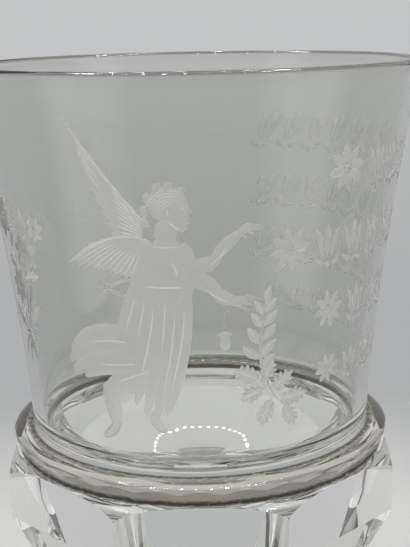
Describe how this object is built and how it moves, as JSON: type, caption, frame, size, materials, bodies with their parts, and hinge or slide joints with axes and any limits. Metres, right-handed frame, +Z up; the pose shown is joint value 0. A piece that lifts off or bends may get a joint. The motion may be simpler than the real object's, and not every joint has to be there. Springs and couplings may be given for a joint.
{
  "type": "footed glass beaker",
  "caption": "Footed clear glass beaker: flared bowl with a rounded lip, facet-cut collar ring, solid panel-cut bulb, short stem and lobed foot.",
  "frame": {"origin": "on the axis, at the plane that the foot stands on", "axes": "+Z up along the axis, -Y towards the front panel and the engraved figure, +X to its right"},
  "size_m": [0.084, 0.084, 0.138],
  "materials": {
    "clear_glass": "gloss"
  },
  "bodies": {
    "root": {"bowl": "clear_glass", "collar_ring": "clear_glass", "bulb": "clear_glass", "stem": "clear_glass", "foot": "clear_glass"}
  },
  "joints": []
}
